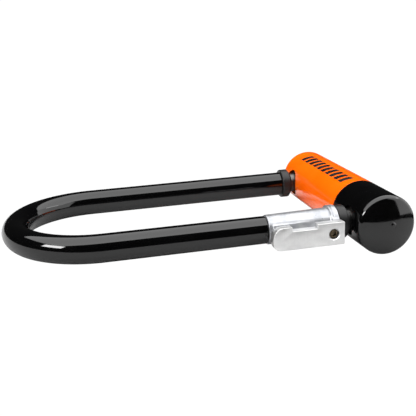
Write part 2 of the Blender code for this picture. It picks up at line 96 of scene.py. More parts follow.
LOG = logging.getLogger("u_lock")
MM = 0.001

# Sizes that several parts share.
BAR_R = 18.25 * MM  # crossbar over its covers
TUBE_R = 16.3 * MM  # hardened tube inside the covers
LEG_Y = 49.5 * MM  # each leg's axis from the middle of the crossbar
SCREW_HOLE_R = 1.9 * MM  # hole for the pivot screw in the arm and in the sleeve
OVERCUT = 1.0 * MM  # how far a cutting shape runs past what it cuts

Colour = tuple[float, float, float]
Stretch = tuple[float, float, float]
Point = tuple[float, float]
Corner = tuple[float, float, float]
Span = tuple[float, float]
Ring = list[bmesh.types.BMVert]


class Axis(Enum):
    """The lock's axes, and how a turned point (along, side, rise) lies on each."""

    X = 0
    Y = 1
    Z = 2

    def place(self, along: float, side: float, rise: float) -> Vector:
        """Point beside this axis.

        Args:
            along: Distance along the axis.
            side: Offset across it.
            rise: The other offset across it.

        Returns:
            The point in X, Y and Z.
        """
        orders = {Axis.X: (along, side, rise), Axis.Y: (side, along, rise),
                  Axis.Z: (side, rise, along)}
        return Vector(orders[self])


class Side(Enum):
    """The two ends of the crossbar, by the sign of Y."""

    FAR = 1
    NEAR = -1


class Carve(Enum):
    """What a tool shape does to the piece it meets."""

    CUT = "DIFFERENCE"
    JOIN = "UNION"
    KEEP = "INTERSECT"


def placed(name: str, data: bpy.types.ID) -> bpy.types.Object:
    """Add an object to the scene.

    Args:
        name: The object's name.
        data: Its mesh, light or camera.

    Returns:
        The new object.
    """
    obj = bpy.data.objects.new(name, data)
    bpy.context.scene.collection.objects.link(obj)
    return obj


# ------------------------------------------------------------------------- frame

@dataclass(frozen=True)
class LockFrame:
    """Where the lock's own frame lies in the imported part's frame.

    Attributes:
        lay: Transform from the lock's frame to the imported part's.
        nodes: CAD nodes by name.
    """

    lay: Matrix
    nodes: dict[str, bpy.types.Object]

    @classmethod
    def from_record(cls, loaded: dict) -> "LockFrame":
        """Read the lock's place and tilt from the key's own axis.


        Returns:
            The frame of the lying lock.
        """
        key = next(joint for joint in loaded["joints"] if joint["name"] == "key_turn")
        along = -Vector(key["axis"]).normalized()
        across = Vector((0, 1, 0))
        up = along.cross(across)
        lay = Matrix((along, across, up)).transposed().to_4x4()
        lay.translation = Vector(key["pos_m"])
        return cls(lay, loaded["nodes"])

    def span(self, node: str, axis: Axis, side: Side | None = None) -> Span:
        """Lowest and highest place of a CAD node along one of the lock's axes.

        Args:
            node: Name of the CAD node.
            axis: The axis to measure along.
            side: Measure only the half of the node towards this end, if given.

        Returns:
            The two ends, in metres.
        """
        back = self.lay.inverted()
        points = [back @ v.co for v in self.nodes[node].data.vertices]
        if side:
            points = [p for p in points if p.y * side.value > 0]
        places = [p[axis.value] for p in points]
        return min(places), max(places)


# ------------------------------------------------------------------------- finishes

class NodeBench:
    """One material's nodes, with short calls for the few kinds that the finishes use."""

    def __init__(self, name: str) -> None:
        """Start a material with its shader and the piece's own coordinates.

        Args:
            name: Name of the material.
        """
        self.material = bpy.data.materials.new(name)
        self.material.use_nodes = True
        self.tree = self.material.node_tree
        self.shader = self.tree.nodes["Principled BSDF"]
        self.place = self.tree.nodes.new("ShaderNodeTexCoord").outputs["Object"]

    def link(self, source: bpy.types.NodeSocket, target: bpy.types.NodeSocket) -> None:
        """Join two sockets."""
        self.tree.links.new(source, target)

    def grain(self, size: float, detail: float = 3.0, stretch: Stretch = (1, 1, 1),
              seed: float = 0.0) -> bpy.types.NodeSocket:
        """Noise with lumps of about one size.

        Args:
            size: Width of a lump, in metres.
            detail: How many finer layers lie over the lumps.
            stretch: How many times longer a lump is along X, Y and Z.
            seed: Shift of the pattern, so that two layers differ.

        Returns:
            The noise, about 0.3 to 0.7.
        """
        mapping = self.tree.nodes.new("ShaderNodeMapping")
        mapping.inputs["Location"].default_value = (seed, seed, seed)
        mapping.inputs["Scale"].default_value = [1 / (size * s) for s in stretch]
        self.link(self.place, mapping.inputs["Vector"])
        noise = self.tree.nodes.new("ShaderNodeTexNoise")
        noise.inputs["Scale"].default_value = 1.0
        noise.inputs["Detail"].default_value = detail
        self.link(mapping.outputs["Vector"], noise.inputs["Vector"])
        return noise.outputs["Fac"]

    def scaled(self, source: bpy.types.NodeSocket, taken: Span,
               given: Span) -> bpy.types.NodeSocket:
        """Stretch a range of values onto another, held at its ends.

        Args:
            source: Values to change.
            taken: The range that is read.
            given: The range that is handed on.

        Returns:
            The changed values.
        """
        node = self.tree.nodes.new("ShaderNodeMapRange")
        numbers = (*taken, *given)
        for name, value in zip(("From Min", "From Max", "To Min", "To Max"), numbers):
            node.inputs[name].default_value = value
        self.link(source, node.inputs["Value"])
        return node.outputs["Result"]

    def mixed(self, share: bpy.types.NodeSocket, first: Colour | bpy.types.NodeSocket,
              second: Colour) -> bpy.types.NodeSocket:
        """Blend two colours by a share.

        Args:
            share: 0 gives the first colour and 1 the second.
            first: The first colour, or a socket that gives it.
            second: The second colour.

        Returns:
            The blended colour.
        """
        node = self.tree.nodes.new("ShaderNodeMix")
        node.data_type = "RGBA"
        colours = [socket for socket in node.inputs if socket.type == "RGBA"]
        if isinstance(first, bpy.types.NodeSocket):
            self.link(first, colours[0])
        else:
            colours[0].default_value = (*first, 1.0)
        colours[1].default_value = (*second, 1.0)
        self.link(share, node.inputs["Factor"])
        return next(s for s in node.outputs if s.type == "RGBA")

    def bumped(self, layers: Iterable[tuple[bpy.types.NodeSocket, float]]) -> None:
        """Raise the surface by several height layers, one over the other.

        Args:
            layers: Each layer's height from 0 to 1 and its real depth in metres.
        """
        below = None
        for height, depth in layers:
            bump = self.tree.nodes.new("ShaderNodeBump")
            bump.inputs["Strength"].default_value = 1.0
            bump.inputs["Distance"].default_value = depth
            self.link(height, bump.inputs["Height"])
            if below:
                self.link(below, bump.inputs["Normal"])
            below = bump.outputs["Normal"]
        self.link(below, self.shader.inputs["Normal"])


@dataclass(frozen=True)
class Polymer:
    """A vinyl, rubber or moulded plastic.

    Attributes:
        name: Name of the material.
        colour: Its main colour.
        tint: The colour it drifts towards in patches.
        roughness: Its least and most roughness.
        ripple: Depth of the slow waves in its surface.
        ripple_size: Width of those waves.
        pores: Depth of its fine grain.
        pore_size: Width of that grain.
        gloss: Strength of its mirror-like part; 0.5 is a usual plastic's.
        patch_size: Width of its patches of colour.
        smear_size: Width of its duller and shinier smears.
    """

    name: str
    colour: Colour
    tint: Colour
    roughness: Span
    ripple: float = 0.0
    ripple_size: float = 9 * MM
    pores: float = 0.0
    pore_size: float = 0.5 * MM
    gloss: float = 0.5
    patch_size: float = 16 * MM
    smear_size: float = 5 * MM

    def make(self) -> bpy.types.Material:
        """Build the material.

        Returns:
            The finished material.
        """
        bench = NodeBench(self.name)
        bench.shader.inputs["Specular IOR Level"].default_value = self.gloss
        patches = bench.scaled(bench.grain(self.patch_size, 3), (0.35, 0.65), (0, 1))
        bench.link(bench.mixed(patches, self.colour, self.tint), bench.shader.inputs["Base Color"])
        smears = bench.scaled(bench.grain(self.smear_size, 5, seed=3.1), (0.3, 0.7), self.roughness)
        bench.link(smears, bench.shader.inputs["Roughness"])
        bench.bumped([(bench.grain(self.ripple_size, 1, seed=7.7), self.ripple),
                      (bench.grain(self.pore_size, 2, seed=1.3), self.pores)])
        return bench.material


@dataclass(frozen=True)
class Metal:
    """A cast, machined, brushed or plated metal.

    Attributes:
        name: Name of the material.
        colour: Its main colour.
        tint: The colour of its dull patches.
        roughness: Its least and most roughness.
        metallic: How much it mirrors as bare metal does.
        blotch_size: Width of its patches.
        stretch: How many times longer its tool marks are along X, Y and Z.
        mark_size: Width of a tool mark.
        marks: Depth of the tool marks.
        pits: Depth of the casting's pits.
        mark_tint: How far the tool marks pull the colour towards the tint.
        wear_size: Width of its duller and shinier spots.
        pit_size: Width of the casting's pits.
    """

    name: str
    colour: Colour
    tint: Colour
    roughness: Span
    metallic: float = 1.0
    blotch_size: float = 6 * MM
    stretch: Stretch = (1, 1, 1)
    mark_size: float = 0.2 * MM
    marks: float = 0.0
    pits: float = 0.0
    mark_tint: float = 0.25
    wear_size: float = 2.5 * MM
    pit_size: float = 0.7 * MM

    def make(self) -> bpy.types.Material:
        """Build the material.

        Returns:
            The finished material.
        """
        bench = NodeBench(self.name)
        bench.shader.inputs["Metallic"].default_value = self.metallic
        tool = bench.grain(self.mark_size, 2, self.stretch, seed=5.2)
        patches = bench.scaled(bench.grain(self.blotch_size, 4), (0.38, 0.68), (0, 1))
        streaks = bench.scaled(tool, (0.4, 0.7), (0, self.mark_tint))
        dulled = bench.mixed(patches, self.colour, self.tint)
        marked = bench.mixed(streaks, dulled, self.tint)
        bench.link(marked, bench.shader.inputs["Base Color"])
        wear = bench.scaled(bench.grain(self.wear_size, 4, seed=2.4), (0.3, 0.7), self.roughness)
        bench.link(wear, bench.shader.inputs["Roughness"])
        bench.bumped([(bench.grain(self.pit_size, 3, seed=9.1), self.pits), (tool, self.marks)])
        return bench.material


# ------------------------------------------------------------------------- mesh work

def rounded(corners: Sequence[Corner], closed: bool = True, steps: int = 6) -> list[Point]:
    """Outline whose corners are rounded by arcs.

    Args:
        corners: Each corner's two places and the radius that rounds it.
        closed: Whether the last corner joins the first.
        steps: How many parts an arc has.

    Returns:
        The outline's points.
    """
    points: list[Point] = []
    last = len(corners) - 1
    for index, (u, v, radius) in enumerate(corners):
        if radius <= 0 or (not closed and index in (0, last)):
            points.append((u, v))
            continue
        here = Vector((u, v))
        before = (Vector(corners[index - 1][:2]) - here).normalized()
        after = (Vector(corners[(index + 1) % (last + 1)][:2]) - here).normalized()
        half = before.angle(after) / 2
        centre = here + (before + after).normalized() * radius / math.sin(half)
        first = here + before * radius / math.tan(half) - centre
        final = here + after * radius / math.tan(half) - centre
        start = math.atan2(first.y, first.x)
        turn = math.atan2(first.x * final.y - first.y * final.x, first.dot(final))
        for step in range(steps + 1):
            angle = start + turn * step / steps
            points.append((centre.x + radius * math.cos(angle),
                           centre.y + radius * math.sin(angle)))
    return points


def arc(centre: Point, radius: float, start: float, end: float, steps: int) -> list[Point]:
    """Points of an arc.

    Args:
        centre: Middle of the arc.
        radius: Its radius.
        start: First angle, in degrees.
        end: Last angle, in degrees.
        steps: How many parts it has.

    Returns:
        The arc's points.
    """
    angles = [math.radians(start + (end - start) * i / steps) for i in range(steps + 1)]
    return [(centre[0] + radius * math.cos(a), centre[1] + radius * math.sin(a)) for a in angles]


def join_rings(bm: bmesh.types.BMesh, first: Ring, second: Ring) -> None:
    """Face the strip between two rings; a ring may be a single point.

    Args:
        bm: The mesh that holds both rings.
        first: One ring.
        second: The other ring.
    """
    count = max(len(first), len(second))
    for i in range(count):
        j = (i + 1) % count
        if len(first) == 1:
            bm.faces.new((first[0], second[i], second[j]))
        elif len(second) == 1:
            bm.faces.new((first[i], first[j], second[0]))
        else:
            bm.faces.new((first[i], first[j], second[j], second[i]))


def turned(profile: Sequence[Point], axis: Axis, centre: Sequence[float] = (0, 0, 0),
           steps: int = 96, closed: bool = False) -> bmesh.types.BMesh:
    """Turn a profile about an axis.

    Args:
        profile: Points of radius and distance along the axis.
        axis: Direction of the axis.
        centre: A point on it.
        steps: How many parts the turn has.
        closed: Whether the profile is a loop, as a tube's section is.

    Returns:
        The closed shape.
    """
    bm = bmesh.new()
    rings: list[Ring] = []
    for radius, along in profile:
        ring: Ring = []
        for i in range(steps if radius > 0 else 1):
            turn = 2 * math.pi * i / steps
            place = axis.place(along, radius * math.sin(turn), -radius * math.cos(turn))
            ring.append(bm.verts.new(place + Vector(centre)))
        rings.append(ring)
    pairs = list(zip(rings, rings[1:]))
    if closed:
        pairs.append((rings[-1], rings[0]))
    for first, second in pairs:
        join_rings(bm, first, second)
    return bm


def rod(radius: float, ends: Span, axis: Axis, centre: Sequence[float] = (0, 0, 0),
        steps: int = 64, edge: float = 0.0) -> bmesh.types.BMesh:
    """A rod with rounded rims.

    Args:
        radius: Radius of the rod.
        ends: Where it starts and stops, in either order.
        axis: Direction of the rod.
        centre: A point on its axis.
        steps: How many sides it has.
        edge: Rounding of its rims.

    Returns:
        The closed shape.
    """
    low, high = min(ends), max(ends)
    corners = [(0, low, 0), (radius, low, edge), (radius, high, edge), (0, high, 0)]
    return turned(rounded(corners, closed=False, steps=4), axis, centre, steps)


def prism(outline: Sequence[Point], ends: Span, axis: Axis) -> bmesh.types.BMesh:
    """Extrude an outline along an axis.

    Args:
        outline: Points on the two other axes, in X, Y, Z order.
        ends: Where the prism starts and stops.
        axis: Direction of the extrusion.

    Returns:
        The closed shape.
    """
    order = {Axis.X: lambda u, v, w: (w, u, v), Axis.Y: lambda u, v, w: (u, w, v),
             Axis.Z: lambda u, v, w: (u, v, w)}[axis]
    bm = bmesh.new()
    rings = [[bm.verts.new(order(u, v, w)) for u, v in outline] for w in ends]
    join_rings(bm, *rings)
    for ring in rings:
        bm.faces.new(ring)
    return bm


def block(x: Span, y: Span, z: Span) -> bmesh.types.BMesh:
    """A box between two places on each axis, used as a tool shape."""
    return prism([(x[0], y[0]), (x[1], y[0]), (x[1], y[1]), (x[0], y[1])], z, Axis.Z)


def obround(ends: Span, radius: float, steps: int = 24) -> list[Point]:
    """A slot's outline in Y and Z about two centres on Y."""
    return (arc((ends[1], 0), radius, -90, 90, steps)
            + arc((ends[0], 0), radius, 90, 270, steps))


class Piece:
    """One visible piece while it is made, drawn in the lock's frame."""

    def __init__(self, name: str, bm: bmesh.types.BMesh, lock: LockFrame) -> None:
        """Start a piece from a mesh.

        Args:
            name: The piece's name.
            bm: Its first shape, which is used up.
            lock: Where the lock lies.
        """
        self.lock = lock
        self.obj = self._new_object(name, bm)

    def _new_object(self, name: str, bm: bmesh.types.BMesh) -> bpy.types.Object:
        """Turn a mesh into a laid-down object.

        Args:
            name: Name of the object.
            bm: Its shape, which is used up.

        Returns:
            The object, where the lock lies.
        """
        bmesh.ops.recalc_face_normals(bm, faces=bm.faces)
        mesh = bpy.data.meshes.new(name)
        bm.to_mesh(mesh)
        bm.free()
        obj = placed(name, mesh)
        obj.matrix_world = self.lock.lay
        return obj

    def settle(self) -> "Piece":
        """Apply the piece's modifiers.

        Returns:
            The same piece.
        """
        bpy.context.view_layer.update()
        graph = bpy.context.evaluated_depsgraph_get()
        mesh = bpy.data.meshes.new_from_object(self.obj.evaluated_get(graph))
        worn = self.obj.data
        self.obj.modifiers.clear()
        self.obj.data = mesh
        bpy.data.meshes.remove(worn)
        return self

    def carve(self, bm: bmesh.types.BMesh, way: Carve = Carve.CUT) -> "Piece":
        """Cut the piece with a tool shape, or join the tool to it.

        Args:
            bm: The tool shape, which is used up.
            way: What the tool does to the piece.

        Returns:
            The same piece.
        """
        tool = self._new_object("tool", bm)
        modifier = self.obj.modifiers.new("carve", "BOOLEAN")
        modifier.operation = way.value
        modifier.solver = "EXACT"
        modifier.object = tool
        self.settle()
        bpy.data.meshes.remove(tool.data)
        return self

    def bevel(self, width: float, degrees: float = 40, segments: int = 3) -> "Piece":
        """Round the piece's sharp edges.

        Args:
            width: Width of the rounding.
            degrees: Edges that turn by more than this are rounded.
            segments: How many parts a rounding has.

        Returns:
            The same piece.
        """
        modifier = self.obj.modifiers.new("bevel", "BEVEL")
        modifier.width = width
        modifier.segments = segments
        modifier.limit_method = "ANGLE"
        modifier.angle_limit = math.radians(degrees)
        return self.settle()

    def melt(self, voxel: float, passes: int) -> "Piece":
        """Fuse the piece's parts and soften its edges, as a casting's are.

        Args:
            voxel: Fineness of the fused mesh.
            passes: How many times it is smoothed.

        Returns:
            The same piece.
        """
        remesh = self.obj.modifiers.new("fuse", "REMESH")
        remesh.mode = "VOXEL"
        remesh.voxel_size = voxel
        smooth = self.obj.modifiers.new("soften", "SMOOTH")
        smooth.factor = 0.5
        smooth.iterations = passes
        return self.settle()

    def dress(self, material: bpy.types.Material, body: str,
              replaces: Sequence[str] = (), sharp: float = 35) -> bpy.types.Object:
        """Give the piece its finish and its body.

        Args:
            material: Its finish.
            body: The CAD body it moves with.
            replaces: CAD nodes that it stands for.
            sharp: Angle in degrees above which an edge shades as a crease.

        Returns:
            The finished object.
        """
        mesh = self.obj.data
        mesh.materials.clear()
        mesh.materials.append(material)
        for polygon in mesh.polygons:
            polygon.material_index = 0
        mesh.shade_smooth()
        mesh.set_sharp_from_angle(angle=math.radians(sharp))
        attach(self.obj, body)
        if replaces:
            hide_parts(*replaces)
        LOG.info("%s: %d faces, on %s", self.obj.name, len(mesh.polygons), body)
        return self.obj


# ------------------------------------------------------------------------- palette

@dataclass(frozen=True)
class Palette:
    """The lock's finishes.

    Attributes:
        black_vinyl: Gloss coat of the shackle.
        cover_black: Gloss cover of the crossbar's near end.
        orange_vinyl: Cover of the rest of the crossbar.
        rubber: Grey collars.
        plastic: Surround of the keyway.
        ink: Print on the orange cover.
        casting: Bright cast sleeve.
        brushed: Swinging arm.
        bare_steel: Shackle bar and crossbar tube.
        ground_steel: Bolts, discs, pins and other ground parts.
        yellow_zinc: Pivot screw.
        cylinder_brass: Key cylinder.
        die_cast_zinc: Lock body and cam.
    """

    black_vinyl: Polymer = Polymer(
        "black_vinyl", (0.0009, 0.0009, 0.0010), (0.0015, 0.0015, 0.0016), (0.03, 0.09),
        ripple=0.05 * MM, ripple_size=14 * MM, pores=0.0015 * MM, pore_size=0.7 * MM)
    cover_black: Polymer = Polymer(
        "cover_black", (0.0009, 0.0009, 0.0010), (0.0016, 0.0016, 0.0017), (0.05, 0.13),
        ripple=0.05 * MM, ripple_size=12 * MM, pores=0.002 * MM, pore_size=0.6 * MM)
    orange_vinyl: Polymer = Polymer(
        "orange_vinyl", (1.0, 0.122, 0.0), (1.0, 0.138, 0.001), (0.12, 0.24),
        ripple=0.05 * MM, ripple_size=10 * MM, pores=0.003 * MM, pore_size=0.6 * MM)
    rubber: Polymer = Polymer(
        "collar_rubber", (0.006, 0.006, 0.0063), (0.010, 0.010, 0.0103), (0.34, 0.46),
        ripple=0.03 * MM, ripple_size=4 * MM, pores=0.02 * MM, pore_size=0.3 * MM, gloss=0.36)
    plastic: Polymer = Polymer(
        "moulded_black", (0.018, 0.018, 0.019), (0.026, 0.026, 0.027), (0.32, 0.48),
        ripple=0.01 * MM, ripple_size=5 * MM, pores=0.02 * MM, pore_size=0.25 * MM)
    ink: Polymer = Polymer(
        "print_ink", (0.0015, 0.0015, 0.0015), (0.006, 0.005, 0.004), (0.3, 0.5),
        ripple=0.005 * MM, ripple_size=3 * MM, pores=0.006 * MM, pore_size=0.3 * MM)
    casting: Metal = Metal(
        "bright_casting", (0.44, 0.445, 0.46), (0.31, 0.32, 0.34), (0.27, 0.40), metallic=0.7,
        blotch_size=5 * MM, stretch=(6, 1, 1), mark_size=0.35 * MM, marks=0.004 * MM,
        pits=0.014 * MM, mark_tint=0.3)
    brushed: Metal = Metal(
        "brushed_aluminium", (0.76, 0.76, 0.755), (0.64, 0.64, 0.64), (0.32, 0.44),
        metallic=0.95, blotch_size=9 * MM, stretch=(1, 1, 40), mark_size=0.22 * MM,
        marks=0.012 * MM, pits=0.01 * MM, mark_tint=0.35)
    bare_steel: Metal = Metal(
        "bare_steel", (0.15, 0.14, 0.135), (0.09, 0.08, 0.075), (0.32, 0.50), blotch_size=7 * MM,
        stretch=(1, 14, 14), mark_size=0.18 * MM, marks=0.006 * MM, pits=0.01 * MM)
    ground_steel: Metal = Metal(
        "ground_steel", (0.56, 0.57, 0.58), (0.40, 0.40, 0.42), (0.18, 0.34), blotch_size=5 * MM,
        stretch=(12, 12, 1), mark_size=0.15 * MM, marks=0.005 * MM, pits=0.006 * MM)
    yellow_zinc: Metal = Metal(
        "yellow_zinc", (0.12, 0.09, 0.055), (0.03, 0.026, 0.02), (0.14, 0.30), blotch_size=1.4 * MM,
        stretch=(1, 10, 1), mark_size=0.5 * MM, marks=0.03 * MM, pits=0.01 * MM)
    cylinder_brass: Metal = Metal(
        "cylinder_brass", (0.75, 0.56, 0.26), (0.58, 0.42, 0.18), (0.2, 0.36), blotch_size=4 * MM,
        stretch=(1, 12, 12), mark_size=0.16 * MM, marks=0.006 * MM, pits=0.006 * MM)
    die_cast_zinc: Metal = Metal(
        "die_cast_zinc", (0.52, 0.53, 0.55), (0.38, 0.39, 0.41), (0.34, 0.5), blotch_size=5 * MM,
        stretch=(1, 8, 1), mark_size=0.3 * MM, marks=0.008 * MM, pits=0.03 * MM)


# ------------------------------------------------------------------------- shackle

@dataclass
class Shackle:
    """The bent steel bar, its vinyl coat and the two collars by the crossbar.

    Attributes:
        lock: Where the lock lies.
        palette: The lock's finishes.
        leg_length: Crossbar's axis to the middle of the bend.
        steel_r: Radius of the bar.
        coat_r: Radius over the coat.
        lip: Rounding of the coat's cut ends.
        lip_degrees: Where the rings of that rounding lie on its arc.
        end_shape: Cutback and inset of each ring of the chamfered end of a leg.
        bolt_x: Where the deadbolts cross the legs.
        notch_r: Radius of the bolt notch.
        notch_depth: Depth of the bolt notch.
        collar_bore: Radius of the hole in a collar.
        cone: Length and depth of the far collar's slope towards the crossbar.
        snout: Length of the near collar's part that enters the cover.
        snout_r: Radius of that part.
        bend_steps: How many parts the bend has.
        leg_steps: How many parts each leg has.
        body: CAD body that all of it rides.
    """

    lock: LockFrame
    palette: Palette
    leg_length: float = 164.5 * MM
    steel_r: float = 6.5 * MM
    coat_r: float = 8.25 * MM
    lip: float = 0.45 * MM
    lip_degrees: tuple[float, ...] = (0, 20, 40, 60, 80)
    end_shape: tuple[Point, ...] = (
        (1.5 * MM, 0.0), (0.25 * MM, 1.1 * MM), (0.07 * MM, 1.4 * MM), (0.0, 1.7 * MM))
    bolt_x: float = -5.65 * MM
    notch_r: float = 4.7 * MM
    notch_depth: float = 5.4 * MM
    collar_bore: float = 6.55 * MM
    cone: Point = (1.7 * MM, 2.1 * MM)
    snout: float = 3.0 * MM
    snout_r: float = 6.9 * MM
    bend_steps: int = 96
    leg_steps: int = 24
    body: str = "shackle"

    def path(self, far_x: float, near_x: float) -> list[tuple[Vector, Vector]]:
        """Places and directions along the U.

        Args:
            far_x: Where the far leg ends.
            near_x: Where the near leg ends.

        Returns:
            Stations from the far leg's end to the near leg's.
        """
        stations = []
        for i in range(self.leg_steps):
            x = far_x + (-self.leg_length - far_x) * i / self.leg_steps
            stations.append((Vector((x, LEG_Y, 0)), Vector((-1, 0, 0))))
        for i in range(self.bend_steps + 1):
            turn = math.pi / 2 + math.pi * i / self.bend_steps
            out = Vector((math.cos(turn), math.sin(turn), 0))
            along = Vector((-math.sin(turn), math.cos(turn), 0))
            stations.append((Vector((-self.leg_length, 0, 0)) + out * LEG_Y, along))
        for i in range(1, self.leg_steps + 1):
            x = -self.leg_length + (near_x + self.leg_length) * i / self.leg_steps
            stations.append((Vector((x, -LEG_Y, 0)), Vector((1, 0, 0))))
        return stations

    def sweep(self, stations: Sequence[tuple[Vector, Vector]], radius: float,
              rims: Sequence[Point], bore: float = 0.0, steps: int = 64) -> bmesh.types.BMesh:
        """Sweep a round section along the U.

        Args:
            stations: Places and directions from ``path``.
            radius: Radius of the section.
            rims: Cutback and inset of each extra ring that shapes an end, outermost first.
            bore: Radius of the hole along it, or 0 for a solid bar.
            steps: How many parts the section has.

        Returns:
            The closed shape.
        """
        bm = bmesh.new()

        def ring(place: Vector, along: Vector, size: float) -> Ring:
            """Put one ring of the section at a place.

            Args:
                place: Middle of the ring.
                along: Direction of the bar there.
                size: Radius of the ring.

            Returns:
                The ring's vertices.
            """
            side = along.cross(Vector((0, 0, 1)))
            verts = []
            for i in range(steps):
                turn = 2 * math.pi * i / steps
                offset = side * math.sin(turn) - Vector((0, 0, 1)) * math.cos(turn)
                verts.append(bm.verts.new(place + offset * size))
            return verts

        inset = max((reach for _, reach in rims), default=0.0)
        shaped = []
        first, last = stations[0], stations[-1]
        for cutback, reach in rims:
            shaped.append((first[0] + first[1] * reach, first[1], radius - cutback))
        shaped.append((first[0] + first[1] * inset, first[1], radius))
        shaped += [(place, along, radius) for place, along in stations[1:-1]]
        shaped.append((last[0] - last[1] * inset, last[1], radius))
        for cutback, reach in reversed(rims):
            shaped.append((last[0] - last[1] * reach, last[1], radius - cutback))
        rings = [ring(*station) for station in shaped]
        for a, b in zip(rings, rings[1:]):
            join_rings(bm, a, b)
        if bore:
            inner = [ring(place, along, bore) for place, along in stations]
            for a, b in zip(inner, inner[1:]):
                join_rings(bm, a, b)
            join_rings(bm, rings[0], inner[0])
            join_rings(bm, rings[-1], inner[-1])
        else:
            bm.faces.new(rings[0])
            bm.faces.new(rings[-1])
        return bm

    def build_bar(self) -> None:
        """Make the steel bar with its bolt notches."""
        end = self.lock.span("shackle_bar", Axis.X)[1]
        bar = self.sweep(self.path(end, end), self.steel_r, self.end_shape)
        piece = Piece("shackle_steel", bar, self.lock)
        inner = LEG_Y - self.steel_r
        for side in Side:
            ends = (side.value * (inner - 2 * OVERCUT), side.value * (inner + self.notch_depth))
            piece.carve(rod(self.notch_r, ends, Axis.Y, (self.bolt_x, 0, 0), edge=0.5 * MM))
        piece.dress(self.palette.bare_steel.make(), self.body, ["shackle_bar"])

    def build_coat(self) -> None:
        """Make the vinyl coat with its rounded cut ends."""
        far = self.lock.span("shackle_coating", Axis.X, Side.FAR)[1]
        near = self.lock.span("shackle_coating", Axis.X, Side.NEAR)[1]
        turns = [math.radians(degrees) for degrees in self.lip_degrees]
        rims = [(self.lip * (1 - math.sin(turn)), self.lip * (1 - math.cos(turn)))
                for turn in turns]
        coat = self.sweep(self.path(far, near), self.coat_r, rims, bore=self.collar_bore)
        piece = Piece("shackle_coat", coat, self.lock)
        piece.dress(self.palette.black_vinyl.make(), self.body,
                    ["shackle_coating"])

    def collar_shape(self, side: Side, ends: Span, outer: float) -> list[Corner]:
        """The outside of a collar's section, from its back to the crossbar.

        Args:
            side: Which leg the collar sits on.
            ends: Where the collar starts and stops along the leg.
            outer: Its radius.

        Returns:
            The corners, each with its rounding.
        """
        low, high = ends
        if side is Side.FAR:
            length, depth = self.cone
            return [(outer, low, 0.9 * MM), (outer, high - length, 0.5 * MM),
                    (outer - depth, high, 0.5 * MM)]
        face = high - self.snout
        return [(outer, low, 0.5 * MM), (outer, face, 1.0 * MM),
                (self.snout_r, face, 0.3 * MM), (self.snout_r, high, 0.2 * MM)]

    def build_collars(self) -> None:
        """Make the two rubber collars."""
        rubber = self.palette.rubber.make()
        for side in Side:
            leg = side.name.lower()
            node = f"{leg}_leg_collar"
            low, high = self.lock.span(node, Axis.X)
            outer = self.lock.span(node, Axis.Z)[1]
            section = rounded([(self.collar_bore, low, 0.2 * MM),
                               *self.collar_shape(side, (low, high), outer),
                               (self.collar_bore, high, 0.2 * MM)])
            ring = turned(section, Axis.X, (0, side.value * LEG_Y, 0), closed=True)
            piece = Piece(f"{leg}_collar_rubber", ring, self.lock)
            piece.dress(rubber, self.body, [node], sharp=50)

    def build(self) -> None:
        """Make the whole shackle."""
        self.build_bar()
        self.build_coat()
        self.build_collars()


# ------------------------------------------------------------------------- extender

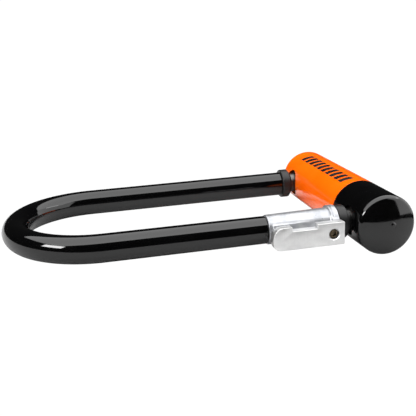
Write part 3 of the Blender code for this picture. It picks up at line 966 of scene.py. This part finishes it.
@dataclass
class Extender:
    """The cast sleeve on the near leg, the swinging arm and its pivot screw.

    Attributes:
        lock: Where the lock lies.
        palette: The lock's finishes.
        bore: Radius of the hole for the leg.
        tube_r: Radius of the sleeve at its free end and by the flange.
        flange_r: Radius of its flange.
        flange_thick: Thickness of the flange.
        groove_at: Flange's back to the groove turned round it.
        groove_depth: Depth of that groove.
        pad_offset: Leg's axis to the flat that the arm lies on.
        pad_inset: Sleeve's free end to the pad.
        plate_spread: How far behind the arm the plate slopes away.
        notch_x: Where the arm's notch starts and stops.
        notch_depth: Depth of that notch.
        pivot: Place of the pivot's axis in X and Z.
        counterbore_r: Radius of the counterbore for the screw's head.
        rim: Flare of the counterbore at the arm's face.
        web: Metal left under the screw's head.
        head: Height of the screw's head.
        shank_r: Radius of the screw's shank.
        socket: Radius across the corners and depth of its hexagon socket.
        voxel: Fineness at which the casting's parts are fused.
    """

    lock: LockFrame
    palette: Palette
    bore: float = 6.6 * MM
    tube_r: Span = (8.8 * MM, 9.4 * MM)
    flange_r: float = 10.7 * MM
    flange_thick: float = 4.8 * MM
    groove_at: float = 1.6 * MM
    groove_depth: float = 1.1 * MM
    pad_offset: float = 10.3 * MM
    pad_inset: float = 2.4 * MM
    plate_spread: float = 3.0 * MM
    notch_x: Span = (-57.8 * MM, -42.5 * MM)
    notch_depth: float = 2.6 * MM
    pivot: Point = (-32.3 * MM, -2.1 * MM)
    counterbore_r: float = 3.1 * MM
    rim: float = 0.45 * MM
    web: float = 1.6 * MM
    head: float = 1.3 * MM
    shank_r: float = 1.6 * MM
    socket: Point = (1.75 * MM, 0.95 * MM)
    voxel: float = 0.3 * MM

    @property
    def pivot_centre(self) -> Corner:
        """A point on the pivot's axis."""
        return self.pivot[0], 0, self.pivot[1]

    def build_sleeve(self) -> None:
        """Make the cast sleeve with its flange, pad and plate."""
        low, high = self.lock.span("extender_sleeve", Axis.X)
        arm_low, arm_high = self.lock.span("extender_arm", Axis.Z)
        leg = (0, -LEG_Y, 0)
        flange_x = high - self.flange_thick
        groove_x = flange_x + self.groove_at
        free_r, root_r = self.tube_r
        profile = rounded([
            (self.bore, low, 0.3 * MM), (free_r, low, 0.5 * MM),
            (root_r, flange_x - 0.6 * MM, 0.5 * MM), (self.flange_r, flange_x + 0.5 * MM, 0.4 * MM),
            (self.flange_r, groove_x - 0.4 * MM, 0.3 * MM),
            (self.flange_r - self.groove_depth, groove_x, 0.15 * MM),
            (self.flange_r, groove_x + 0.5 * MM, 0.4 * MM), (self.flange_r, high, 0.6 * MM),
            (self.bore, high, 0.3 * MM)], steps=4)
        piece = Piece("extender_casting", turned(profile, Axis.X, leg, closed=True), self.lock)
        pad_y = -LEG_Y - self.pad_offset
        pad_back = -LEG_Y - free_r + 0.9 * MM
        pad = prism(rounded([(pad_y, 0.6 * MM, 0.3 * MM), (pad_back, 4.8 * MM, 0),
                             (pad_back + 1 * MM, -5.2 * MM, 0), (pad_y, -4.6 * MM, 0.3 * MM)],
                            steps=3), (low + self.pad_inset, flange_x + 1 * MM), Axis.X)
        piece.carve(pad, Carve.JOIN)
        plate_y = pad_y + self.plate_spread
        plate = rounded([(pad_y, arm_high, 0.4 * MM), (pad_y, arm_low, 0.4 * MM),
                         (plate_y, arm_low - 0.2 * MM, 0.6 * MM),
                         (pad_back, -3.0 * MM, 0), (pad_back, 5.0 * MM, 0),
                         (plate_y, arm_high + 2.2 * MM, 0.8 * MM)], steps=3)
        piece.carve(prism(plate, (flange_x + 0.2 * MM, high - 0.2 * MM), Axis.X), Carve.JOIN)
        piece.carve(block((low, high + OVERCUT), (pad_y - 2 * OVERCUT, pad_y),
                          (-self.flange_r, self.flange_r)))
        hole = rod(SCREW_HOLE_R, (pad_y - OVERCUT, -LEG_Y - 5 * MM), Axis.Y,
                   self.pivot_centre, 32)
        piece.carve(hole)
        piece.melt(self.voxel, 3)
        piece.dress(self.palette.casting.make(), "shackle",
                    ["extender_sleeve"], sharp=60)

    def build_arm(self) -> None:
        """Make the brushed arm with its notch and counterbore."""
        left, right = self.lock.span("extender_arm", Axis.X)
        low, high = self.lock.span("extender_arm", Axis.Z)
        outer, inner = self.lock.span("extender_arm", Axis.Y)
        floor = high - self.notch_depth
        outline = rounded([
            (right, high, 0.6 * MM), (self.notch_x[1], high, 0.3 * MM),
            (self.notch_x[1], floor, 0.35 * MM), (self.notch_x[0], floor, 0.35 * MM),
            (self.notch_x[0], high, 0.5 * MM), (left, high, 6.4 * MM),
            (left, low, 4.6 * MM), (right, low, 0.6 * MM)], steps=12)
        piece = Piece("extender_blade", prism(outline, (inner, outer), Axis.Y), self.lock)
        piece.bevel(0.3 * MM, 60)
        seat, past = inner - self.web, outer - OVERCUT
        rim_r = self.counterbore_r + self.rim
        bore = rounded([(0, seat, 0), (self.counterbore_r, seat, 0),
                        (self.counterbore_r, outer + self.rim, 0.15 * MM),
                        (rim_r, outer - 0.02 * MM, 0), (rim_r, past, 0), (0, past, 0)],
                       closed=False, steps=3)
        piece.carve(turned(bore, Axis.Y, self.pivot_centre, 48))
        piece.carve(rod(SCREW_HOLE_R, (seat - OVERCUT, inner + OVERCUT), Axis.Y,
                        self.pivot_centre, 32))
        piece.dress(self.palette.brushed.make(), "extender_arm",
                    ["extender_arm"], sharp=30)

    def build_screw(self) -> None:
        """Make the socket screw and its washer."""
        left, right = self.lock.span("pivot_screw", Axis.X)
        low, high = self.lock.span("pivot_screw", Axis.Y)
        head_r, under = (right - left) / 2, low + self.head
        profile = rounded([(0, low, 0), (head_r - 0.15 * MM, low, 0.45 * MM),
                           (head_r, under, 0.1 * MM), (self.shank_r, under, 0.15 * MM),
                           (self.shank_r, high, 0.3 * MM), (0, high, 0)],
                          closed=False, steps=4)
        piece = Piece("pivot_screw_zinc", turned(profile, Axis.Y, self.pivot_centre, 48),
                      self.lock)
        socket_r, socket_depth = self.socket
        piece.carve(rod(socket_r, (low - OVERCUT, low + socket_depth), Axis.Y,
                        self.pivot_centre, 6))
        piece.dress(self.palette.yellow_zinc.make(), "shackle", ["pivot_screw"])
        low, high = self.lock.span("pivot_washer", Axis.Y)
        hole_r = self.shank_r + 0.15 * MM
        profile = rounded([(hole_r, low, 0.08 * MM), (head_r, low, 0.12 * MM),
                           (head_r, high, 0.12 * MM), (hole_r, high, 0.08 * MM)], steps=3)
        ring = turned(profile, Axis.Y, self.pivot_centre, 48, closed=True)
        washer = Piece("pivot_washer_steel", ring, self.lock)
        washer.dress(self.palette.ground_steel.make(), "shackle",
                     ["pivot_washer"])

    def build(self) -> None:
        """Make the whole extender."""
        self.build_sleeve()
        self.build_arm()
        self.build_screw()


# ------------------------------------------------------------------------- covers

@dataclass
class Covers:
    """The two dipped covers on the crossbar and the print on the orange one.

    Attributes:
        lock: Where the lock lies.
        palette: The lock's finishes.
        inner_end: Where the hardened tube inside the covers ends.
        crest_y: Middle of a domed end.
        fillet: Rounding between side and end.
        slope: The dome's slope where it meets the fillet, in degrees.
        split_y: Where orange meets black.
        hole_r: Radius of the holes for the legs.
        nub_at: Place of the moulding nub on an end, in X and Z.
        nub_r: Radius of the nub's foot.
        nub_height: How far the nub stands out.
        bezel_y: Centres of the round ends of the surround's opening.
        bezel_r: Their radius, as the surround has it.
    """

    lock: LockFrame
    palette: Palette
    inner_end: float = 66.8 * MM
    crest_y: float = 70.5 * MM
    fillet: float = 3.5 * MM
    slope: float = 19.0
    split_y: float = -28.4 * MM
    hole_r: float = 9.0 * MM
    nub_at: Point = (2.3 * MM, 1.0 * MM)
    nub_r: float = 1.8 * MM
    nub_height: float = 0.6 * MM
    bezel_y: Span = (-0.5 * MM, 11.0 * MM)
    bezel_r: float = 9.0 * MM

    def profile(self, mouth: float) -> list[Point]:
        """A cover's section from its open mouth to the middle of its domed end.

        Args:
            mouth: Where its open end is.

        Returns:
            Points of radius and distance along the crossbar.
        """
        slope = math.radians(self.slope)
        fillet_r = BAR_R - self.fillet
        dome_r = fillet_r / math.sin(slope) + self.fillet
        dome_y = self.crest_y - dome_r
        fillet_y = dome_y + (dome_r - self.fillet) * math.cos(slope)
        side = rounded([(0, self.inner_end, 0), (TUBE_R, self.inner_end, 0.5 * MM),
                        (TUBE_R, mouth, 0.3 * MM), (BAR_R, mouth, 0.12 * MM),
                        (BAR_R, mouth + 1 * MM, 0)], closed=False, steps=4)
        rim = arc((fillet_r, fillet_y), self.fillet, 0, 90 - self.slope, 14)
        dome = arc((0, dome_y), dome_r, 90 - self.slope, 90, 16)[1:-1]
        return side + rim + dome + [(0, self.crest_y)]

    def nub(self, side: Side) -> bmesh.types.BMesh:
        """The small round nub left by the mould.

        Args:
            side: Which end of the crossbar it stands on.

        Returns:
            The closed shape.
        """
        top = self.crest_y + self.nub_height
        section = rounded([(0, self.crest_y - 1 * MM, 0), (self.nub_r, self.crest_y - 1 * MM, 0),
                           (self.nub_r, self.crest_y - 0.05 * MM, 0.2 * MM),
                           (self.nub_r * 0.55, top, 0.5 * MM), (0, top, 0)],
                          closed=False, steps=5)
        profile = [(radius, side.value * along) for radius, along in section]
        return turned(profile, Axis.Y, (self.nub_at[0], 0, self.nub_at[1]), 32)

    def build_cover(self, side: Side, name: str, mouth: float, finish: Polymer,
                    node: str) -> None:
        """Make one cover.

        Args:
            side: Which end of the crossbar it closes.
            name: Name of the piece.
            mouth: Where its open end is, measured towards its own side.
            finish: What it is dipped in.
            node: The CAD node that it stands for.
        """
        profile = [(radius, side.value * along) for radius, along in self.profile(mouth)]
        piece = Piece(name, turned(profile, Axis.Y, steps=128), self.lock)
        piece.carve(rod(self.hole_r, (-25 * MM, -5 * MM), Axis.X,
                        (0, side.value * LEG_Y, 0), 96))
        if side is Side.FAR:
            opening = obround(self.bezel_y, self.bezel_r + 0.05 * MM)
            piece.carve(prism(opening, (5 * MM, 25 * MM), Axis.X))
        piece.bevel(0.35 * MM, 50, 3)
        piece.carve(self.nub(side), Carve.JOIN)
        piece.dress(finish.make(), "crossbar", [node], sharp=40)

    def build(self) -> None:
        """Make both covers and the print."""
        self.build_cover(Side.FAR, "orange_dip", self.split_y, self.palette.orange_vinyl,
                         "orange_cover")
        self.build_cover(Side.NEAR, "black_dip", -self.split_y + 0.02 * MM,
                         self.palette.cover_black, "black_cover")
        PrintedBars(self.lock, self.palette).build()


@dataclass
class PrintedBars:
    """A plain row of slanted bars printed round the top of the orange cover.

    Attributes:
        lock: Where the lock lies.
        palette: The lock's finishes.
        count: How many bars there are.
        ends: Where the row starts and stops along the crossbar.
        arc: The angles in degrees from the top towards the legs that the row covers.
        slant: How far a bar leans along the crossbar.
        fill: Share of the pitch that is inked.
        film: Height of the ink over the cover, and its depth under it.
        steps: How many parts a bar has round the cover.
    """

    lock: LockFrame
    palette: Palette
    count: int = 10
    ends: Span = (-22.5 * MM, 55.0 * MM)
    arc: Span = (4.0, 30.0)
    slant: float = 3.0 * MM
    fill: float = 0.68
    film: float = 0.04 * MM
    steps: int = 10

    def bar(self, bm: bmesh.types.BMesh, start: float, width: float) -> None:
        """Add one bar as a thin closed shell that follows the cover.

        Args:
            bm: The mesh that takes the bar.
            start: Where the bar starts along the crossbar, at its top end.
            width: Its width.
        """
        layers = []
        for radius in (BAR_R - self.film, BAR_R + self.film):
            rows = []
            for i in range(self.steps + 1):
                share = i / self.steps
                turn = math.radians(self.arc[0] + (self.arc[1] - self.arc[0]) * share)
                x, z = -radius * math.sin(turn), radius * math.cos(turn)
                y = start + self.slant * share
                rows.append([bm.verts.new((x, y, z)), bm.verts.new((x, y + width, z))])
            layers.append(rows)
        low, high = layers
        for a, b, c, d in zip(low, low[1:], high, high[1:]):
            bm.faces.new((a[0], a[1], b[1], b[0]))
            bm.faces.new((c[0], c[1], d[1], d[0]))
            bm.faces.new((a[0], b[0], d[0], c[0]))
            bm.faces.new((a[1], b[1], d[1], c[1]))
        for end in (0, -1):
            bm.faces.new((low[end][0], low[end][1], high[end][1], high[end][0]))

    def build(self) -> None:
        """Make the row of bars."""
        bm = bmesh.new()
        pitch = (self.ends[1] - self.ends[0] - self.slant) / self.count
        for index in range(self.count):
            self.bar(bm, self.ends[0] + pitch * index, pitch * self.fill)
        piece = Piece("orange_dip_print", bm, self.lock)
        piece.dress(self.palette.ink.make(), "crossbar")


# ------------------------------------------------------------------------- key side

@dataclass
class KeySide:
    """The keyway's surround and the sliding dust cover.

    Attributes:
        lock: Where the lock lies.
        palette: The lock's finishes.
        covers: The covers, whose opening the surround fills.
        proud: How far the surround stands out.
        window_y: Centres of the window's round ends.
        window_r: Their radius.
        slider_thick: Thickness of the dust cover.
        nub_y: Place of its thumb nub.
        nub_r: Radius of that nub.
    """

    lock: LockFrame
    palette: Palette
    covers: Covers
    proud: float = 0.35 * MM
    window_y: Span = (0.0, 3.6 * MM)
    window_r: float = 5.8 * MM
    slider_thick: float = 0.8 * MM
    nub_y: float = -4.2 * MM
    nub_r: float = 1.1 * MM

    def build_bezel(self) -> None:
        """Make the moulded surround."""
        outer, ends = BAR_R + self.proud, (-16 * MM, 28 * MM)
        shell = [(TUBE_R, ends[0]), (outer, ends[0]), (outer, ends[1]), (TUBE_R, ends[1])]
        piece = Piece("keyway_surround", turned(shell, Axis.Y, steps=192, closed=True), self.lock)
        opening = obround(self.covers.bezel_y, self.covers.bezel_r)
        piece.carve(prism(opening, (5 * MM, 26 * MM), Axis.X), Carve.KEEP)
        piece.carve(prism(obround(self.window_y, self.window_r), (3 * MM, 28 * MM), Axis.X))
        piece.bevel(0.25 * MM, 50, 3)
        piece.dress(self.palette.plastic.make(), "crossbar",
                    ["keyway_bezel"], sharp=35)

    def build_dust_cover(self) -> None:
        """Make the sliding disc with its thumb nub."""
        radius = self.lock.span("dust_cover", Axis.Z)[1]
        low, top = self.lock.span("dust_cover", Axis.X)
        face = low + self.slider_thick
        dish = face - 0.15 * MM
        disc = rounded([(0, low, 0), (radius, low, 0.2 * MM), (radius, face, 0.25 * MM),
                        (radius * 0.55, face, 0.3 * MM), (radius * 0.5, dish, 0.3 * MM),
                        (0, dish, 0)], closed=False, steps=4)
        piece = Piece("dust_slider", turned(disc, Axis.X), self.lock)
        grip = rod(self.nub_r, (low + 0.3 * MM, top), Axis.X, (0, self.nub_y, 0), 40, 0.35 * MM)
        piece.carve(grip, Carve.JOIN)
        piece.dress(self.palette.ground_steel.make(), "dust_cover",
                    ["dust_cover"])

    def build(self) -> None:
        """Make the key side."""
        self.build_bezel()
        self.build_dust_cover()


@dataclass
class LockWorks:
    """The CAD nodes that stay: the hardened tube, the lock body and the works inside.

    Attributes:
        lock: Where the lock lies.
        palette: The lock's finishes.
    """

    lock: LockFrame
    palette: Palette

    def build(self) -> None:
        """Dress every CAD node that no piece stands for."""
        ground = self.palette.ground_steel.make()
        bare = self.palette.bare_steel.make()
        brass = self.palette.cylinder_brass.make()
        zinc = self.palette.die_cast_zinc.make()
        worn = {"crossbar_tube": bare, "lock_body": zinc, "cylinder_housing": brass,
                "cylinder_core": brass, "drive_cam": zinc}
        for name, node in self.lock.nodes.items():
            if node.hide_render:
                continue
            node.data.materials.clear()
            node.data.materials.append(worn.get(name, ground))
            LOG.info("%s: carried over", name)


# ------------------------------------------------------------------------- studio

@dataclass(frozen=True)
class Softbox:
    """A rectangular light that stands round the lock and faces it.

    Attributes:
        name: Name of the light.
        azimuth: Its bearing from the camera's side towards +X, in degrees.
        elevation: Its height over the horizon, in degrees.
        distance: How far it is from the lock.
        size: Its width and height.
        glow: Its brightness, as a white surface's in full light is 1.
    """

    name: str
    azimuth: float
    elevation: float
    distance: float
    size: Span
    glow: float

    def stand(self, aim: Vector) -> None:
        """Stand the light in its place.

        Args:
            aim: The point it faces.
        """
        bearing, rise = math.radians(self.azimuth), math.radians(self.elevation)
        way = Vector((math.sin(bearing) * math.cos(rise), -math.cos(bearing) * math.cos(rise),
                      math.sin(rise)))
        light = bpy.data.lights.new(self.name, "AREA")
        light.shape = "RECTANGLE"
        light.size, light.size_y = self.size
        light.energy = self.glow * math.pi * self.size[0] * self.size[1]
        obj = placed(self.name, light)
        obj.location = aim + way * self.distance
        obj.rotation_euler = way.to_track_quat("Z", "Y").to_euler()
        obj.visible_camera = False


@dataclass
class Studio:
    """The pale floor, the white surround, the soft lights and the camera.

    Attributes:
        camera_offset: Camera's place from the middle of the lock's box.
        yaw: Turn of the view from +Y towards +X, in radians.
        pitch: How far the view looks down, in radians.
        roll: Turn about the view's own axis, in radians.
        focal_mm: Focal length of the lens.
        sensor_mm: Width of the sensor.
        overhead_height: Height of the overhead softbox over the floor.
        overhead_y: Its front and back edges.
        overhead_half: Half of its width.
        overhead_glow: Its brightness at its front and back edges.
        floor_front: Front edge of the floor that reflections show.
        floor_right: Its right edge.
        floor_reach: How far it runs to the left and to the back.
        floor_albedo: How pale it is.
        floor_gap: Air between the lock and the floor.
        surround_r: Radius of the white surround.
        surround_glow: Its brightness.
        room_glow: Brightness of the dim room outside it.
        softboxes: The lights that stand round the lock.
    """

    camera_offset: Vector = field(
        default_factory=lambda: Vector((-0.09065, -0.42892, 0.12303)))
    yaw: float = 0.22883
    pitch: float = 0.27725
    roll: float = 0.00487
    focal_mm: float = 61.10
    sensor_mm: float = 36.0
    overhead_height: float = 0.60
    overhead_y: Span = (-0.44, 0.50)
    overhead_half: float = 0.75
    overhead_glow: Span = (3.8, 2.5)
    floor_front: float = -0.20
    floor_right: float = 0.245
    floor_reach: float = 1.2
    floor_albedo: float = 0.5
    floor_gap: float = 0.05 * MM
    surround_r: float = 4.0
    surround_glow: float = 1.05
    room_glow: float = 0.015
    softboxes: tuple[Softbox, ...] = (
        Softbox("left_strip", -64, 28, 0.9, (0.36, 0.20), 20.0),
        Softbox("right_box", 84, 44, 0.9, (0.42, 0.30), 3.0),
        Softbox("right_panel", 78, 23.5, 1.1, (1.66, 1.08), 2.0))

    def emissive(self, name: str, strength: float) -> bpy.types.Material:
        """A plain white glow.

        Args:
            name: Name of the material.
            strength: Its brightness.

        Returns:
            The material.
        """
        material = bpy.data.materials.new(name)
        material.use_nodes = True
        shader = material.node_tree.nodes["Principled BSDF"]
        shader.inputs["Base Color"].default_value = (0, 0, 0, 1)
        shader.inputs["Roughness"].default_value = 1.0
        shader.inputs["Specular IOR Level"].default_value = 0.0
        shader.inputs["Emission Color"].default_value = (1, 1, 1, 1)
        shader.inputs["Emission Strength"].default_value = strength
        return material

    def sheet(self, name: str, corners: Sequence[Vector],
              material: bpy.types.Material) -> bpy.types.Object:
        """A flat four-cornered sheet that belongs to the stage.

        Args:
            name: Name of the sheet.
            corners: Its corners in order.
            material: Its finish.

        Returns:
            The sheet.
        """
        mesh = bpy.data.meshes.new(name)
        mesh.from_pydata([tuple(corner) for corner in corners], [], [(0, 1, 2, 3)])
        mesh.materials.append(material)
        obj = placed(name, mesh)
        obj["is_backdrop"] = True
        return obj

    def build_floor(self, level: float) -> None:
        """Lay the pale floor, which lights the lock from below and which no camera sees.

        Args:
            level: Height of the floor.
        """
        reach = self.floor_reach
        shade = bpy.data.materials.new("pale_floor")
        shade.use_nodes = True
        shader = shade.node_tree.nodes["Principled BSDF"]
        shader.inputs["Base Color"].default_value = (*[self.floor_albedo] * 3, 1)
        shader.inputs["Roughness"].default_value = 0.9
        lit = self.sheet("studio_floor", [
            Vector((-reach, self.floor_front, level)),
            Vector((self.floor_right, self.floor_front, level)),
            Vector((self.floor_right, reach, level)), Vector((-reach, reach, level))], shade)
        lit.visible_camera = False

    def build_surround(self) -> None:
        """Put a white shell round everything that only the camera sees."""
        bm = bmesh.new()
        bmesh.ops.create_icosphere(bm, subdivisions=4, radius=self.surround_r)
        mesh = bpy.data.meshes.new("studio_surround")
        bm.to_mesh(mesh)
        bm.free()
        mesh.materials.append(self.emissive("white_surround", self.surround_glow))
        shell = placed("studio_surround", mesh)
        shell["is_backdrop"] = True
        shell.visible_diffuse = False
        shell.visible_glossy = False
        shell.visible_transmission = False
        shell.visible_shadow = False

    def build_overhead(self, level: float) -> None:
        """Hang the big softbox, brighter towards its front edge.

        Args:
            level: Height of the floor.
        """
        material = self.emissive("overhead_glow", 1.0)
        tree = material.node_tree
        place = tree.nodes.new("ShaderNodeTexCoord").outputs["Object"]
        split = tree.nodes.new("ShaderNodeSeparateXYZ")
        fade = tree.nodes.new("ShaderNodeMapRange")
        numbers = (*self.overhead_y, *self.overhead_glow)
        for name, value in zip(("From Min", "From Max", "To Min", "To Max"), numbers):
            fade.inputs[name].default_value = value
        tree.links.new(place, split.inputs["Vector"])
        tree.links.new(split.outputs["Y"], fade.inputs["Value"])
        shader = tree.nodes["Principled BSDF"]
        tree.links.new(fade.outputs["Result"], shader.inputs["Emission Strength"])
        half, height = self.overhead_half, level + self.overhead_height
        front, back = self.overhead_y
        box = self.sheet("studio_overhead", [Vector((-half, front, height)),
                                             Vector((-half, back, height)),
                                             Vector((half, back, height)),
                                             Vector((half, front, height))], material)
        box.visible_camera = False

    def build_camera(self, middle: Vector) -> None:
        """Place the camera.

        Args:
            middle: Middle of the lock's box.
        """
        yaw, pitch = self.yaw, self.pitch
        forward = Vector((math.sin(yaw) * math.cos(pitch), math.cos(yaw) * math.cos(pitch),
                          -math.sin(pitch)))
        right = Vector((math.cos(yaw), -math.sin(yaw), 0))
        up = right.cross(forward)
        turned_right = right * math.cos(self.roll) + up * math.sin(self.roll)
        turned_up = up * math.cos(self.roll) - right * math.sin(self.roll)
        camera = bpy.data.cameras.new("camera")
        camera.lens = self.focal_mm
        camera.sensor_width = self.sensor_mm
        camera.clip_start = 0.01
        obj = placed("camera", camera)
        obj.matrix_world = Matrix((turned_right, turned_up, -forward)).transposed().to_4x4()
        obj.location = middle + self.camera_offset
        bpy.context.scene.camera = obj

    def build(self, box: tuple[Vector, Vector]) -> None:
        """Set the stage round the lock's box.

        Args:
            box: Lowest and highest corner of the lock.
        """
        middle = (Vector(box[0]) + Vector(box[1])) / 2
        level = box[0][2] - self.floor_gap
        self.build_floor(level)
        self.build_surround()
        self.build_overhead(level)
        for softbox in self.softboxes:
            softbox.stand(middle)
        self.build_camera(middle)
        world = bpy.data.worlds.new("dim_room")
        world.use_nodes = True
        backdrop = world.node_tree.nodes["Background"]
        backdrop.inputs["Color"].default_value = (1, 1, 1, 1)
        backdrop.inputs["Strength"].default_value = self.room_glow
        bpy.context.scene.world = world
        bpy.context.scene.view_settings.view_transform = "Standard"


# ------------------------------------------------------------------------- assembly


def main() -> None:
    """Build the lock's looks and its stage."""
    logging.basicConfig(level=logging.INFO, format="%(name)s: %(message)s", stream=sys.stdout)
    cad_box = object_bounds()
    lock = LockFrame.from_record(frame)
    palette = Palette()
    covers = Covers(lock, palette)
    parts: list[Callable[[], None]] = [
        Shackle(lock, palette).build, Extender(lock, palette).build, covers.build,
        KeySide(lock, palette, covers).build, LockWorks(lock, palette).build]
    for build in parts:
        build()
    Studio().build(cad_box)


if __name__ == "__main__":
    main()
